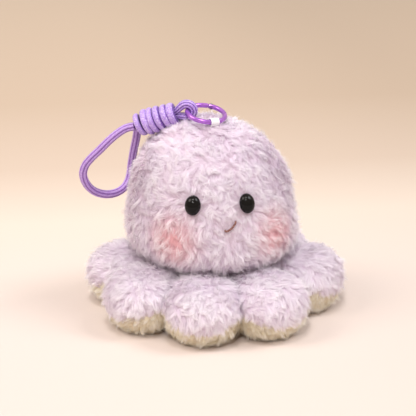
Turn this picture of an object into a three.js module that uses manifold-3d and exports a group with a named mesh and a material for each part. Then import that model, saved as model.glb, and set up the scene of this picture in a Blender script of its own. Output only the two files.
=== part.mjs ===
// Plush octopus keychain: a stuffed toy with a sprung key ring and a knotted cord strap.
// Millimetres, +Z up, face towards -Y, origin at the centre of the flat base.

import * as THREE from 'three';
import { mergeVertices } from 'three/addons/utils/BufferGeometryUtils.js';
import Module from 'manifold-3d';

const wasm = await Module();
wasm.setup();

// Clearance between pieces that touch, and the overrun of every cutting solid
const seatGap = 0.3;
const overrun = 4;

// Head: a bell that is widest low down, leaning a little to -X, and open at its neck
const neckHeight = 31.5;
const headRadius = 52.5;
const headWidestAboveNeck = 21.5;
const headRise = 68.5;
const headDrop = 23;
const headOffsetX = -0.6;
const headLeanShare = -0.045;
const headLowerFullness = 0.8;
const headLowerRoundness = 0.85;
const coverWall = 1.2;

// Hub and base panel, which the tentacles surround
const hubRadius = 38;
const hubWaistRadius = 36;
const basePanelRadius = 35;
const basePanelThickness = 2.4;

// Tentacles: pillow-shaped lobes round the hub, lilac on top and cream underneath
const tentacleAngles = [-104, -57, -15, 25, 76, 127, 169, 211];
const tentacleCentreRadius = 57.5;
const tentacleLength = 22.5;
const tentacleRoot = 38;
const tentacleWidth = 23;
const tentacleTopAboveNeck = 5;
const tentacleDrop = 19;
const floorFlatDepth = 0.5;
const tentacleTaperShare = 0.06;
const tentacleLowerFullness = 0.7;
const tentacleUpperFullness = 0.9;
const seamHeight = 9;
const seamFlankRise = 7;

// Face: two oval eyes with ribbed shanks and washers, and a one-sided stitched smile
const eyeSpacing = 31.1;
const eyeHeight = 80.7;
const faceTurn = -1.4;
const eyeWidth = 10.4;
const eyeTall = 13;
const eyeDome = 5.2;
const eyeRim = 0.8;
const shankRadius = 1.9;
const shankRib = 0.4;
const shankLength = 7.5;
const shankRibCount = 4;
const shankClearance = 0.35;
const washerRadius = 6.5;
const washerThickness = 1.5;
const washerCollarRadius = 3.6;
const washerCollarHeight = 1;
const washerSlack = 0.4;
const mouthStartX = 0.1;
const mouthLength = 7.9;
const mouthBendShare = 0.71;
const mouthHeight = 65.5;
const mouthRise = 6;
const mouthSag = 0.5;
const mouthThread = 1.3;

// Key ring: a round wire ring with a sprung gate, lying on the crown
const ringBore = 20;
const ringWire = 3;
const ringShiftX = -1.5;
const ringShiftY = -6.5;
const ringLift = 4.1;
const ringTiltForward = 14;
const ringTiltSide = 5.8;
const hingeFaceAngle = 77;
const hingePinOffset = 2.1;
const hingePinRadius = 0.5;
const hingePinHead = 0.85;
const hingePinHeadHeight = 0.25;
const hingeTongue = 1;
const hingeTongueRoot = 3;
const hingeSlot = 1.7;
const hingeEarRadius = 1.6;
const hingeEarRun = 9;
const latchAngle = -3;
const latchSlope = 50;
const latchRun = 12;
const springBoreRadius = 0.85;
const springBoreLength = 5.6;
const springRadius = 0.5;
const springWire = 0.2;
const springPitch = 0.84;
const springTurns = 5;

// Ribbon: a woven tape round the ring's front, sewn into the crown
const ribbonAngle = 287;
const ribbonWidth = 6;
const ribbonThickness = 0.8;
const ribbonSlack = 0.8;
const ribbonAnchor = 3;

// Strap: a braided cord with an eye round the ring, a wrapped knot and a hand loop
const cordDiameter = 5;
const strapAngle = 165;
const strapDroop = 27.5;
const eyeBend = 4.5;
const eyeBendShiftX = 0.1;
const eyeBendShiftZ = 0.2;
const knotStart = 8.2;
const knotLength = 26.5;
const wrapWide = 4.4;
const wrapThick = 3.4;
const wrapPitch = 4.32;
const wrapRadiusOuterEnd = 6.4;
const wrapRadiusRingEnd = 5;
const coreThickness = 2.7;
const coreSpacing = 3;
const coreTuck = 3;
const cordRoute = [
    [-48.5, 7.2, 116.1],
    [-52.2, 8.4, 115.2],
    [-55.6, 8.7, 113.8],
    [-60.4, 8.8, 110.6],
    [-65.4, 9.3, 106.2],
    [-70.5, 10.2, 101.0],
    [-75.4, 11.3, 96.2],
    [-79.2, 12.4, 91.4],
    [-80.9, 13.5, 86.0],
    [-80.1, 14.9, 80.6],
    [-77.5, 16.7, 75.6],
    [-73.3, 18.7, 71.6],
    [-67.2, 21.4, 69.0],
    [-61.0, 24.2, 68.7],
    [-55.4, 27.0, 70.8],
    [-51.9, 29.0, 75.2],
    [-50.3, 29.5, 80.6],
    [-49.7, 28.2, 86.2],
    [-49.0, 25.2, 92.2],
    [-48.2, 21.4, 98.6],
    [-47.2, 17.6, 105.0],
    [-46.6, 14.8, 110.2],
    [-46.2, 13.4, 114.4],
];

const headWidestHeight = neckHeight + headWidestAboveNeck;
const tentacleCentreHeight = tentacleDrop - floorFlatDepth;
const tentacleRise = neckHeight + tentacleTopAboveNeck - tentacleCentreHeight;
const ringRadius = (ringBore + ringWire) / 2;
const wireRadius = ringWire / 2;
const crownHeight = headWidestHeight + headRise;
const headSides = 32;
const headSteps = 18;
const liningSides = 24;
const liningSteps = 14;
const hubSides = 24;
const up = new THREE.Vector3(0, 0, 1);
const part = new THREE.Group();

// Materials
function finish(color, roughness, metalness = 0) {
    return new THREE.MeshStandardMaterial({ color, roughness, metalness });
}

const lilacFur = finish(0xe2d2e2, 0.95);
const creamFur = finish(0xe8dfc4, 0.95);
const fibre = finish(0xf4f2ee, 1);
const eyePlastic = finish(0x0c0b0d, 0.12);
const clearPlastic = finish(0xe9e9e6, 0.4);
const brownThread = finish(0x8c5a50, 0.8);
const whiteRibbon = finish(0xf3f2f6, 0.7);
const purpleMetal = finish(0xa86fd8, 0.25, 0.6);
const steel = finish(0xb8b9be, 0.3, 1);
const lavenderCord = finish(0xaa87d7, 0.75);

// Mesh and solid helpers
function radians(degrees) {
    return THREE.MathUtils.degToRad(degrees);
}

function solid(geometry) {
    const bare = geometry.clone();
    bare.deleteAttribute('normal');
    bare.deleteAttribute('uv');
    const whole = mergeVertices(bare);
    const index = Array.from(whole.index.array);
    const kept = [];
    for (let i = 0; i < index.length; i += 3) {
        const [a, b, c] = index.slice(i, i + 3);
        if (a !== b && b !== c && c !== a) {
            kept.push(a, b, c);
        }
    }
    return new wasm.Manifold(new wasm.Mesh({
        numProp: 3,
        vertProperties: new Float32Array(whole.attributes.position.array),
        triVerts: new Uint32Array(kept),
    }));
}

function geometryOf(manifold) {
    const mesh = manifold.getMesh();
    const geometry = new THREE.BufferGeometry();
    geometry.setAttribute('position', new THREE.BufferAttribute(mesh.vertProperties, 3));
    geometry.setIndex(new THREE.BufferAttribute(mesh.triVerts, 1));
    geometry.computeVertexNormals();
    return geometry;
}

function addMesh(parent, name, shape, material) {
    const geometry = shape.isBufferGeometry ? shape : geometryOf(shape);
    const mesh = new THREE.Mesh(geometry, material);
    mesh.name = name;
    parent.add(mesh);
    return mesh;
}

function lathe(points, sides) {
    const profile = points.map(([radius, height]) => new THREE.Vector2(radius, height));
    const geometry = new THREE.LatheGeometry(profile, sides);
    geometry.rotateX(Math.PI / 2);
    return geometry;
}

function extruded(shape, depth, curveSegments = 12) {
    return new THREE.ExtrudeGeometry(shape, { depth, curveSegments, bevelEnabled: false });
}

// A closed tube through rings of points, each ring one section of the tube
function tubeThrough(rings) {
    const sides = rings[0].length;
    const last = rings.length - 1;
    const positions = rings.flat().flatMap((point) => point.toArray());
    const index = [];
    for (let i = 0; i < last; i += 1) {
        for (let j = 0; j < sides; j += 1) {
            const next = (j + 1) % sides;
            const a = i * sides + j;
            const b = i * sides + next;
            const c = a + sides;
            const d = b + sides;
            index.push(a, b, d, a, d, c);
        }
    }
    for (let j = 1; j < sides - 1; j += 1) {
        index.push(0, j + 1, j);
        index.push(last * sides, last * sides + j, last * sides + j + 1);
    }
    const geometry = new THREE.BufferGeometry();
    geometry.setAttribute('position', new THREE.Float32BufferAttribute(positions, 3));
    geometry.setIndex(index);
    geometry.computeVertexNormals();
    return geometry;
}

// One oval section round a centre, spanned by two half-axes
function ovalSection(centre, halfA, halfB, sides) {
    const section = [];
    for (let j = 0; j < sides; j += 1) {
        const turn = (2 * Math.PI * j) / sides;
        section.push(centre.clone()
            .addScaledVector(halfA, Math.cos(turn))
            .addScaledVector(halfB, Math.sin(turn)));
    }
    return section;
}

// Smallest distance between the surfaces of two turns of a coil, measured on its section points
function leastGap(rings, stepsPerTurn) {
    let least = Infinity;
    rings.forEach((ring, i) => {
        rings.slice(i + Math.round(stepsPerTurn / 2)).forEach((other) => {
            ring.forEach((a) => {
                other.forEach((b) => {
                    least = Math.min(least, a.distanceTo(b));
                });
            });
        });
    });
    return least;
}

// Head shapes
function headProfile(growth, steps) {
    const points = [];
    for (let i = 0; i <= steps; i += 1) {
        const angle = radians(-90 + (180 * i) / steps);
        const cos = Math.max(Math.cos(angle), 0);
        const sin = Math.sin(angle);
        if (sin >= 0) {
            points.push([(headRadius + growth) * cos, headWidestHeight + (headRise + growth) * sin]);
        } else {
            const radius = (headRadius + growth) * cos ** headLowerFullness;
            const drop = (headDrop + growth) * Math.abs(sin) ** headLowerRoundness;
            points.push([radius, headWidestHeight - drop]);
        }
    }
    points[0][0] = 0;
    points[steps][0] = 0;
    return points;
}

function leanX(height) {
    return headOffsetX + headLeanShare * (height - neckHeight);
}

function leaned(geometry) {
    const position = geometry.attributes.position;
    for (let i = 0; i < position.count; i += 1) {
        position.setX(i, position.getX(i) + leanX(position.getZ(i)));
    }
    return geometry;
}

function headSolid(growth, sides, steps) {
    return solid(leaned(lathe(headProfile(growth, steps), sides)));
}

// Everything below a height, as a wide box to cut with
function slabBelow(height) {
    const reach = 2 * (tentacleCentreRadius + tentacleLength + overrun);
    const box = new THREE.BoxGeometry(reach, reach, reach);
    box.translate(0, 0, height - reach / 2);
    return solid(box);
}

// A point on the head above its widest height, at an angle from -Y towards +X
function onHead(angle, height) {
    const sin = (height - headWidestHeight) / headRise;
    const radius = headRadius * Math.sqrt(1 - sin * sin);
    const turn = radians(angle);
    const x = radius * Math.sin(turn);
    const y = -radius * Math.cos(turn);
    const normal = new THREE.Vector3(x / headRadius ** 2, y / headRadius ** 2, sin / headRise);
    normal.z -= headLeanShare * normal.x;
    normal.normalize();
    return { point: new THREE.Vector3(x + leanX(height), y, height), normal };
}

// The head's height under a point of the plan
function crownHeightAt(x, y) {
    let height = crownHeight;
    for (let i = 0; i < 6; i += 1) {
        const spread = ((x - leanX(height)) ** 2 + y ** 2) / headRadius ** 2;
        height = headWidestHeight + headRise * Math.sqrt(Math.max(1 - spread, 0));
    }
    return height;
}

// A frame whose Z is the given direction and whose Y is as near up as it can be
function frameAlong(point, direction, upward = up) {
    const z = direction.clone().normalize();
    const x = new THREE.Vector3().crossVectors(upward, z).normalize();
    const y = new THREE.Vector3().crossVectors(z, x);
    return new THREE.Matrix4().makeBasis(x, y, z).setPosition(point);
}

// Eyes: the surface frame of each, the eye itself, its washer and what they cut out
const eyeAngle = THREE.MathUtils.radToDeg(Math.asin(
    eyeSpacing / 2 / (headRadius * Math.sqrt(1 - ((eyeHeight - headWidestHeight) / headRise) ** 2)),
));
const eyes = [['left', -1], ['right', 1]].map(([side, sign]) => {
    const place = onHead(sign * eyeAngle + faceTurn, eyeHeight);
    return { side, frame: frameAlong(place.point, place.normal) };
});

function eyeShape() {
    const dome = [[0, seatGap]];
    const domeSteps = 6;
    dome.push([1 - eyeRim / eyeTall, seatGap]);
    dome.push([1, seatGap + eyeRim / 2]);
    for (let i = 0; i <= domeSteps; i += 1) {
        const angle = radians((90 * i) / domeSteps);
        const radius = i === domeSteps ? 0 : Math.cos(angle);
        dome.push([radius, seatGap + eyeRim + (eyeDome - eyeRim) * Math.sin(angle)]);
    }
    const button = lathe(dome, 20);
    button.scale(eyeWidth / 2, eyeTall / 2, 1);
    const shank = [[0, -shankLength]];
    const ribStep = shankLength / (shankRibCount + 1);
    for (let i = 0; i < shankRibCount; i += 1) {
        const low = -shankLength + ribStep * i;
        shank.push([shankRadius, low]);
        shank.push([shankRadius + shankRib, low + ribStep / 2]);
    }
    shank.push([shankRadius, -shankLength + ribStep * shankRibCount]);
    shank.push([shankRadius, seatGap + eyeRim]);
    shank.push([0, seatGap + eyeRim]);
    return solid(button).add(solid(lathe(shank, 10)));
}

// The washer sits this far under the cover's outside, clear of the cover's curve at its rim
const washerSeat = coverWall + washerSlack + seatGap + washerRadius ** 2 / headRadius;

function washerShape() {
    const bore = shankRadius + shankRib + shankClearance;
    const top = -washerSeat;
    const low = top - washerThickness;
    return solid(lathe([
        [bore, top],
        [bore, low - washerCollarHeight],
        [washerCollarRadius, low - washerCollarHeight],
        [washerCollarRadius, low],
        [washerRadius, low],
        [washerRadius, top - seatGap],
        [washerRadius - seatGap, top],
        [bore, top],
    ], 14));
}

function shankHole(frame) {
    const bore = shankRadius + shankRib + shankClearance;
    const length = shankLength + overrun;
    const hole = lathe([
        [0, -length],
        [bore, -length],
        [bore, overrun],
        [0, overrun],
    ], 14);
    return solid(hole.applyMatrix4(frame));
}

function washerPocket(frame) {
    const radius = washerRadius + seatGap;
    const depth = washerSeat + washerThickness + washerCollarHeight + seatGap;
    const pocket = lathe([
        [0, -depth],
        [radius, -depth],
        [radius, overrun],
        [0, overrun],
    ], 20);
    return solid(pocket.applyMatrix4(frame));
}

// Key ring frame: X and Y in the ring's plane, Z its normal
const ringCentre = new THREE.Vector3(
    leanX(crownHeight) + ringShiftX,
    ringShiftY,
    crownHeight + ringLift,
);
const ringNormal = new THREE.Vector3(
    Math.tan(radians(ringTiltSide)),
    -Math.tan(radians(ringTiltForward)),
    1,
).normalize();
const ringX = new THREE.Vector3(1, 0, 0);
ringX.addScaledVector(ringNormal, -ringNormal.x).normalize();
const ringY = new THREE.Vector3().crossVectors(ringNormal, ringX);
const ringFrame = new THREE.Matrix4().makeBasis(ringX, ringY, ringNormal).setPosition(ringCentre);

function onRing(angle, radius = ringRadius) {
    return new THREE.Vector3(radius * Math.cos(radians(angle)), radius * Math.sin(radians(angle)), 0);
}

// Ribbon frame: origin at the wire's centre, Z along the wire, Y towards the crown's outside
const ribbonPoint = onRing(ribbonAngle).applyMatrix4(ringFrame);
const ribbonAlong = onRing(ribbonAngle + 90, 1).transformDirection(ringFrame);
const ribbonFoot = new THREE.Vector3(
    ribbonPoint.x,
    ribbonPoint.y,
    crownHeightAt(ribbonPoint.x, ribbonPoint.y),
);
const ribbonOut = new THREE.Vector3(
    (ribbonFoot.x - leanX(ribbonFoot.z)) / headRadius ** 2,
    ribbonFoot.y / headRadius ** 2,
    (ribbonFoot.z - headWidestHeight) / headRise ** 2,
).normalize();
const ribbonFrame = frameAlong(ribbonPoint, ribbonAlong, ribbonOut);
const ribbonDrop = ribbonPoint.clone().sub(ribbonFoot).dot(ribbonOut);
const ribbonInner = wireRadius + ribbonSlack;
const ribbonOuter = ribbonInner + ribbonThickness;
const ribbonDepth = ribbonDrop + coverWall + ribbonAnchor;

function ribbonOutline() {
    const halfTail = ribbonThickness;
    const neck = Math.asin(halfTail / ribbonOuter);
    const outline = new THREE.Shape();
    outline.moveTo(halfTail, -ribbonDepth);
    outline.lineTo(halfTail, -ribbonOuter * Math.cos(neck));
    outline.absarc(0, 0, ribbonOuter, -Math.PI / 2 + neck, Math.PI * 1.5 - neck, false);
    outline.lineTo(-halfTail, -ribbonDepth);
    outline.closePath();
    const hole = new THREE.Path();
    hole.absarc(0, 0, ribbonInner, 0, Math.PI * 2, true);
    outline.holes.push(hole);
    return outline;
}

function ribbonShape() {
    const band = extruded(ribbonOutline(), ribbonWidth, 10);
    band.translate(0, 0, -ribbonWidth / 2);
    return band.applyMatrix4(ribbonFrame);
}

function ribbonSlit() {
    const slit = new THREE.BoxGeometry(
        2 * (ribbonThickness + seatGap),
        ribbonDepth + overrun,
        ribbonWidth + 2 * seatGap,
    );
    slit.translate(0, -(ribbonDepth + overrun) / 2 - seatGap, 0);
    return solid(slit.applyMatrix4(ribbonFrame));
}

// Head: cover, filling, eyes, washers, smile and ribbon
function buildHead() {
    const neckCut = slabBelow(neckHeight);
    const holes = eyes.map(({ frame }) => shankHole(frame));
    const lining = headSolid(-coverWall, liningSides, liningSteps);
    let cover = headSolid(0, headSides, headSteps).subtract(lining);
    let filling = headSolid(-coverWall - seatGap, liningSides, liningSteps);
    for (const hole of [neckCut, ribbonSlit(), ...holes]) {
        cover = cover.subtract(hole);
        filling = filling.subtract(hole);
    }
    for (const { frame } of eyes) {
        filling = filling.subtract(washerPocket(frame));
    }
    addMesh(part, 'head_cover', cover, lilacFur);
    addMesh(part, 'head_filling', filling, fibre);
    for (const { side, frame } of eyes) {
        addMesh(part, `eye_${side}`, eyeShape(), eyePlastic).applyMatrix4(frame);
        addMesh(part, `eye_washer_${side}`, washerShape(), clearPlastic).applyMatrix4(frame);
    }
    addMesh(part, 'mouth_stitch', mouthShape(), brownThread);
    addMesh(part, 'ribbon_loop', ribbonShape(), whiteRibbon);
}

// The smile's thread lies on the cover, sagging a little before it rises
function mouthShape() {
    const steps = 8;
    const sides = 6;
    const centres = [];
    for (let i = 0; i <= steps; i += 1) {
        const t = i / steps;
        const across = mouthStartX + mouthLength * (2 * t * (1 - t) * mouthBendShare + t * t);
        const height = mouthHeight - 2 * t * (1 - t) * mouthSag + t * t * mouthRise;
        const place = onHead(THREE.MathUtils.radToDeg(Math.asin(across / headRadius)), height);
        const standoff = mouthThread / 2 + seatGap;
        centres.push({ ...place, centre: place.point.clone().addScaledVector(place.normal, standoff) });
    }
    const rings = centres.map(({ centre, normal }, i) => {
        const before = centres[Math.max(i - 1, 0)].centre;
        const after = centres[Math.min(i + 1, steps)].centre;
        const along = after.clone().sub(before).normalize();
        const side = new THREE.Vector3().crossVectors(along, normal).normalize();
        const half = mouthThread / 2;
        return ovalSection(centre, side.multiplyScalar(half), normal.clone().multiplyScalar(-half), sides);
    });
    return solid(tubeThrough(rings));
}

// Skirt: hub, base panel, tentacles and their cream undersides
function hubSolid() {
    const lower = basePanelThickness + seatGap;
    const waist = (headWidestHeight - headDrop) / 2;
    return solid(lathe([
        [0, lower],
        [basePanelRadius, lower],
        [hubWaistRadius, waist / 2],
        [hubRadius, waist],
        [hubRadius, headWidestHeight - headDrop / 2],
        [0, headWidestHeight - headDrop / 2],
    ], hubSides));
}

function basePanel() {
    return solid(lathe([
        [0, 0],
        [basePanelRadius - seatGap, 0],
        [basePanelRadius, seatGap],
        [basePanelRadius, basePanelThickness],
        [0, basePanelThickness],
    ], hubSides));
}

// One tentacle pointing along +X, before anything is cut from it
function tentacleBlank() {
    const geometry = new THREE.SphereGeometry(1, 16, 10);
    geometry.rotateX(Math.PI / 2);
    const position = geometry.attributes.position;
    for (let i = 0; i < position.count; i += 1) {
        const x = position.getX(i);
        const y = position.getY(i);
        const z = position.getZ(i);
        const spread = Math.hypot(x, y);
        const fullness = z < 0 ? tentacleLowerFullness : tentacleUpperFullness;
        const fuller = spread > Number.EPSILON ? spread ** (fullness - 1) : 0;
        const length = x * fuller * (x < 0 ? tentacleRoot : tentacleLength);
        const taper = 1 + tentacleTaperShare * x;
        position.setXYZ(
            i,
            tentacleCentreRadius + length,
            y * fuller * tentacleWidth * taper,
            tentacleCentreHeight + z * (z < 0 ? tentacleDrop : tentacleRise),
        );
    }
    return solid(geometry);
}

// The sector between two directions, drawn in by half a gap on each side
function sector(from, to) {
    const reach = 2 * (tentacleCentreRadius + tentacleLength);
    const middle = radians((from + to) / 2);
    const half = radians((to - from) / 2);
    const inset = seatGap / 2 / Math.sin(half);
    const wedge = new THREE.Shape();
    wedge.moveTo(inset, 0);
    wedge.lineTo(reach, (reach - inset) * Math.tan(half));
    wedge.lineTo(reach, -(reach - inset) * Math.tan(half));
    wedge.closePath();
    const geometry = extruded(wedge, crownHeight);
    geometry.translate(0, 0, -overrun);
    geometry.rotateZ(middle);
    return solid(geometry);
}

// Everything under the seam of one tentacle: low at its middle and higher on its flanks
function underSeam(lift) {
    const half = tentacleWidth + overrun;
    const steps = 6;
    const outline = new THREE.Shape();
    outline.moveTo(-half, -overrun);
    for (let i = 0; i <= steps; i += 1) {
        const across = -half + (2 * half * i) / steps;
        const flank = (across / tentacleWidth) ** 2;
        outline.lineTo(across, seamHeight + lift + seamFlankRise * flank);
    }
    outline.lineTo(half, -overrun);
    outline.closePath();
    const reach = tentacleCentreRadius + tentacleLength + overrun;
    const geometry = extruded(outline, reach);
    geometry.rotateX(Math.PI / 2);
    geometry.rotateZ(Math.PI / 2);
    return solid(geometry);
}

function hubClearance() {
    return solid(lathe([
        [0, -overrun],
        [basePanelRadius + seatGap, -overrun],
        [basePanelRadius + seatGap, basePanelThickness + seatGap],
        [hubWaistRadius + seatGap, (headWidestHeight - headDrop) / 4],
        [hubRadius + seatGap, (headWidestHeight - headDrop) / 2],
        [hubRadius + seatGap, headWidestHeight],
        [0, headWidestHeight],
    ], hubSides));
}

function buildSkirt() {
    const neckCut = slabBelow(neckHeight - seatGap);
    const headRoom = headSolid(seatGap, headSides, headSteps).subtract(neckCut);
    const hub = hubSolid();
    addMesh(part, 'skirt_body', hub.subtract(headRoom), lilacFur);
    addMesh(part, 'base_panel', basePanel(), creamFur);
    const blank = tentacleBlank().subtract(slabBelow(0));
    const room = headRoom.add(hubClearance());
    const count = tentacleAngles.length;
    tentacleAngles.forEach((angle, i) => {
        const before = i === 0 ? tentacleAngles[count - 1] - 360 : tentacleAngles[i - 1];
        const after = i === count - 1 ? tentacleAngles[0] + 360 : tentacleAngles[i + 1];
        const facing = angle - 90;
        const lobe = blank.rotate([0, 0, facing])
            .intersect(sector((before + angle) / 2 - 90, (after + angle) / 2 - 90))
            .subtract(room);
        const top = lobe.subtract(underSeam(seatGap).rotate([0, 0, facing]));
        const sole = lobe.intersect(underSeam(0).rotate([0, 0, facing]));
        addMesh(part, `tentacle_${i + 1}`, top, lilacFur);
        addMesh(part, `sole_${i + 1}`, sole, creamFur);
    });
}

// Ring body and gate: two arcs of wire, joined by a pinned tongue and meeting at a sloped latch
const pinAngle = hingeFaceAngle - THREE.MathUtils.radToDeg(hingePinOffset / ringRadius);
const pinPoint = onRing(pinAngle);
const slotRadius = hingeEarRadius + seatGap;

function wireArc(from, to, steps) {
    const sides = 10;
    const rings = [];
    for (let i = 0; i <= steps; i += 1) {
        const angle = from + ((to - from) * i) / steps;
        const outward = onRing(angle, wireRadius);
        rings.push(ovalSection(onRing(angle), outward, new THREE.Vector3(0, 0, -wireRadius), sides));
    }
    return solid(tubeThrough(rings));
}

// A plate in the ring's plane, between two heights
function ringPlate(outline, low, high) {
    const geometry = extruded(outline, high - low);
    geometry.translate(0, 0, low);
    return solid(geometry);
}

// Half the plane beyond a line through a point of the ring, as an outline to cut with
function halfPlane(point, direction, side) {
    const reach = 3 * ringWire;
    const along = direction.clone().multiplyScalar(reach);
    const across = new THREE.Vector3(-direction.y, direction.x, 0).multiplyScalar(side * reach);
    const corners = [
        point.clone().add(along),
        point.clone().sub(along),
        point.clone().sub(along).add(across),
        point.clone().add(along).add(across),
    ];
    return new THREE.Shape(corners.map(({ x, y }) => new THREE.Vector2(x, y)));
}

function disc(point, radius) {
    const outline = new THREE.Shape();
    outline.absarc(point.x, point.y, radius, 0, Math.PI * 2, false);
    return outline;
}

// A strip along the wire from the pin, rounded about the pin
function hingeStrip(toAngle, halfWidth) {
    const towards = onRing(toAngle).sub(pinPoint);
    const length = towards.length();
    const turn = Math.atan2(towards.y, towards.x);
    const outline = new THREE.Shape();
    outline.absarc(0, 0, halfWidth, Math.PI / 2, Math.PI * 1.5, false);
    outline.lineTo(length, -halfWidth);
    outline.lineTo(length, halfWidth);
    outline.closePath();
    return { outline, place: new THREE.Matrix4().makeRotationZ(turn).setPosition(pinPoint) };
}

function placedPlate(strip, low, high) {
    const geometry = extruded(strip.outline, high - low);
    geometry.translate(0, 0, low);
    return solid(geometry.applyMatrix4(strip.place));
}

function buildRing(group) {
    const tall = wireRadius + seatGap;
    const holeRadius = hingePinRadius + seatGap / 2;
    const pinHole = ringPlate(disc(pinPoint, holeRadius), -tall, tall);
    const latchPoint = onRing(latchAngle);
    const slope = radians(180 + latchSlope);
    const latchLine = new THREE.Vector3(Math.cos(slope), Math.sin(slope), 0);
    const latchGap = new THREE.Vector3(latchLine.y, -latchLine.x, 0).multiplyScalar(seatGap);

    // Body: the long arc, its tongue at the hinge and its sloped end at the latch
    const longArc = wireArc(hingeFaceAngle, 360 + latchAngle + latchRun, 36);
    const beyondLatch = ringPlate(halfPlane(latchPoint, latchLine, -1), -tall, tall);
    const tongueStrip = hingeStrip(hingeFaceAngle + hingeTongueRoot, wireRadius - seatGap / 2);
    const tongue = placedPlate(tongueStrip, -hingeTongue / 2, hingeTongue / 2);
    const body = longArc.subtract(beyondLatch).add(tongue).subtract(pinHole);
    addMesh(group, 'ring_body', body, purpleMetal);

    // Gate: the short arc, rounded about the pin, slotted for the tongue and bored for its spring
    const gateArc = wireArc(latchAngle - latchRun, pinAngle + hingeEarRun, 16);
    const beyondPin = ringPlate(halfPlane(pinPoint, onRing(pinAngle, 1), 1), -tall, tall)
        .subtract(ringPlate(disc(pinPoint, hingeEarRadius), -tall, tall));
    const inLatch = ringPlate(
        halfPlane(latchPoint.clone().add(latchGap), latchLine, 1), -tall, tall,
    );
    const slot = ringPlate(disc(pinPoint, slotRadius), -hingeSlot / 2, hingeSlot / 2);
    const mouthStrip = hingeStrip(hingeFaceAngle + hingeEarRun, slotRadius);
    const slotMouth = placedPlate(mouthStrip, -hingeSlot / 2, hingeSlot / 2);
    const bore = boreAlong(springBoreRadius, springBoreLength);
    const gate = gateArc.subtract(inLatch).subtract(beyondPin)
        .subtract(slot).subtract(slotMouth).subtract(pinHole).subtract(bore);
    addMesh(group, 'ring_gate', gate, purpleMetal);
    addMesh(group, 'gate_pin', pinShape(), steel);
    addMesh(group, 'gate_spring', springShape(), steel);
}

// Frame of the gate's spring: origin at the slot's end, Z running into the gate
function springFrame() {
    const startAngle = pinAngle - THREE.MathUtils.radToDeg(slotRadius / ringRadius);
    const middleAngle = startAngle - THREE.MathUtils.radToDeg(springBoreLength / 2 / ringRadius);
    const along = onRing(middleAngle - 90, 1);
    const middle = onRing(middleAngle);
    const origin = middle.clone().addScaledVector(along, -springBoreLength / 2);
    return frameAlong(origin, along);
}

function boreAlong(radius, length) {
    const hole = lathe([
        [0, -wireRadius / 2],
        [radius, -wireRadius / 2],
        [radius, length],
        [0, length],
    ], 12);
    return solid(hole.applyMatrix4(springFrame()));
}

// Rivet through the ears and the tongue, a head at each end
function pinShape() {
    const half = wireRadius + seatGap / 2;
    const top = half + hingePinHeadHeight;
    const pin = lathe([
        [0, -top],
        [hingePinHead - seatGap / 2, -top],
        [hingePinHead, -half],
        [hingePinRadius, -half],
        [hingePinRadius, half],
        [hingePinHead, half],
        [hingePinHead - seatGap / 2, top],
        [0, top],
    ], 16);
    pin.translate(pinPoint.x, pinPoint.y, 0);
    return pin;
}

// Compression spring of the gate, one unbroken wire with a straight stub at each end
function springShape() {
    const stepsPerTurn = 8;
    const wire = springWire / 2;
    const steps = springTurns * stepsPerTurn;
    const rings = [];
    for (let i = 0; i <= steps; i += 1) {
        const turn = (2 * Math.PI * i) / stepsPerTurn;
        const outward = new THREE.Vector3(Math.cos(turn), Math.sin(turn), 0);
        const climb = seatGap + wire + springPitch * (i / stepsPerTurn);
        const centre = outward.clone().multiplyScalar(springRadius).setZ(climb);
        const halfUp = new THREE.Vector3(0, 0, wire);
        rings.push(ovalSection(centre, outward.multiplyScalar(-wire), halfUp, 5));
    }
    for (const [end, sign] of [[0, -1], [rings.length - 1, 1]]) {
        const turn = (2 * Math.PI * end) / stepsPerTurn;
        const stub = new THREE.Vector3(-Math.sin(turn), Math.cos(turn), 0).multiplyScalar(sign * springWire);
        const straight = rings[end].map((point) => point.clone().add(stub));
        if (end === 0) {
            rings.unshift(straight);
        } else {
            rings.push(straight);
        }
    }
    console.log(`gate_spring least gap ${leastGap(rings, stepsPerTurn).toFixed(2)} mm`);
    return tubeThrough(rings).applyMatrix4(springFrame());
}

// Strap frame: origin at the wire's centre, X out along the strap, Z up across it
const strapPoint = onRing(strapAngle);
const strapFrame = new THREE.Matrix4()
    .makeRotationZ(radians(strapAngle))
    .multiply(new THREE.Matrix4().makeRotationY(radians(strapDroop)))
    .setPosition(strapPoint);

// Eye: up from the knot, over the wire, back under it and on through the knot's wraps
function strapEye() {
    const cord = cordDiameter / 2;
    const core = coreThickness / 2;
    const knotEnd = knotStart + knotLength;
    const bend = [];
    const bendSteps = 10;
    for (let i = 0; i <= bendSteps; i += 1) {
        const turn = radians(90 + (180 * i) / bendSteps);
        bend.push([
            eyeBendShiftX + eyeBend * Math.cos(turn),
            eyeBendShiftZ + eyeBend * Math.sin(turn),
            cord,
        ]);
    }
    const leg = (sign, end) => {
        const from = eyeBendShiftZ + sign * eyeBend;
        const to = (sign * coreSpacing) / 2;
        const points = [];
        const steps = 6;
        for (let i = 1; i <= steps; i += 1) {
            const t = i / steps;
            const ease = t * t * (3 - 2 * t);
            const x = eyeBendShiftX + (knotStart - eyeBendShiftX) * t;
            const thick = cord + (core - cord) * t ** 3;
            points.push([x, from + (to - from) * ease, thick]);
        }
        points.push([end, to, core]);
        return points;
    };
    const route = [...leg(1, knotEnd - coreTuck).reverse(), ...bend, ...leg(-1, knotEnd)];
    const sides = 8;
    const rings = route.map(([x, z, thick], i) => {
        const [xa, za] = route[Math.max(i - 1, 0)];
        const [xb, zb] = route[Math.min(i + 1, route.length - 1)];
        const along = new THREE.Vector3(xb - xa, 0, zb - za).normalize();
        const halfA = new THREE.Vector3(0, thick, 0);
        const halfB = new THREE.Vector3().crossVectors(along, halfA);
        return ovalSection(new THREE.Vector3(x, 0, z), halfA, halfB, sides);
    });
    return tubeThrough(rings);
}

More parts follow.
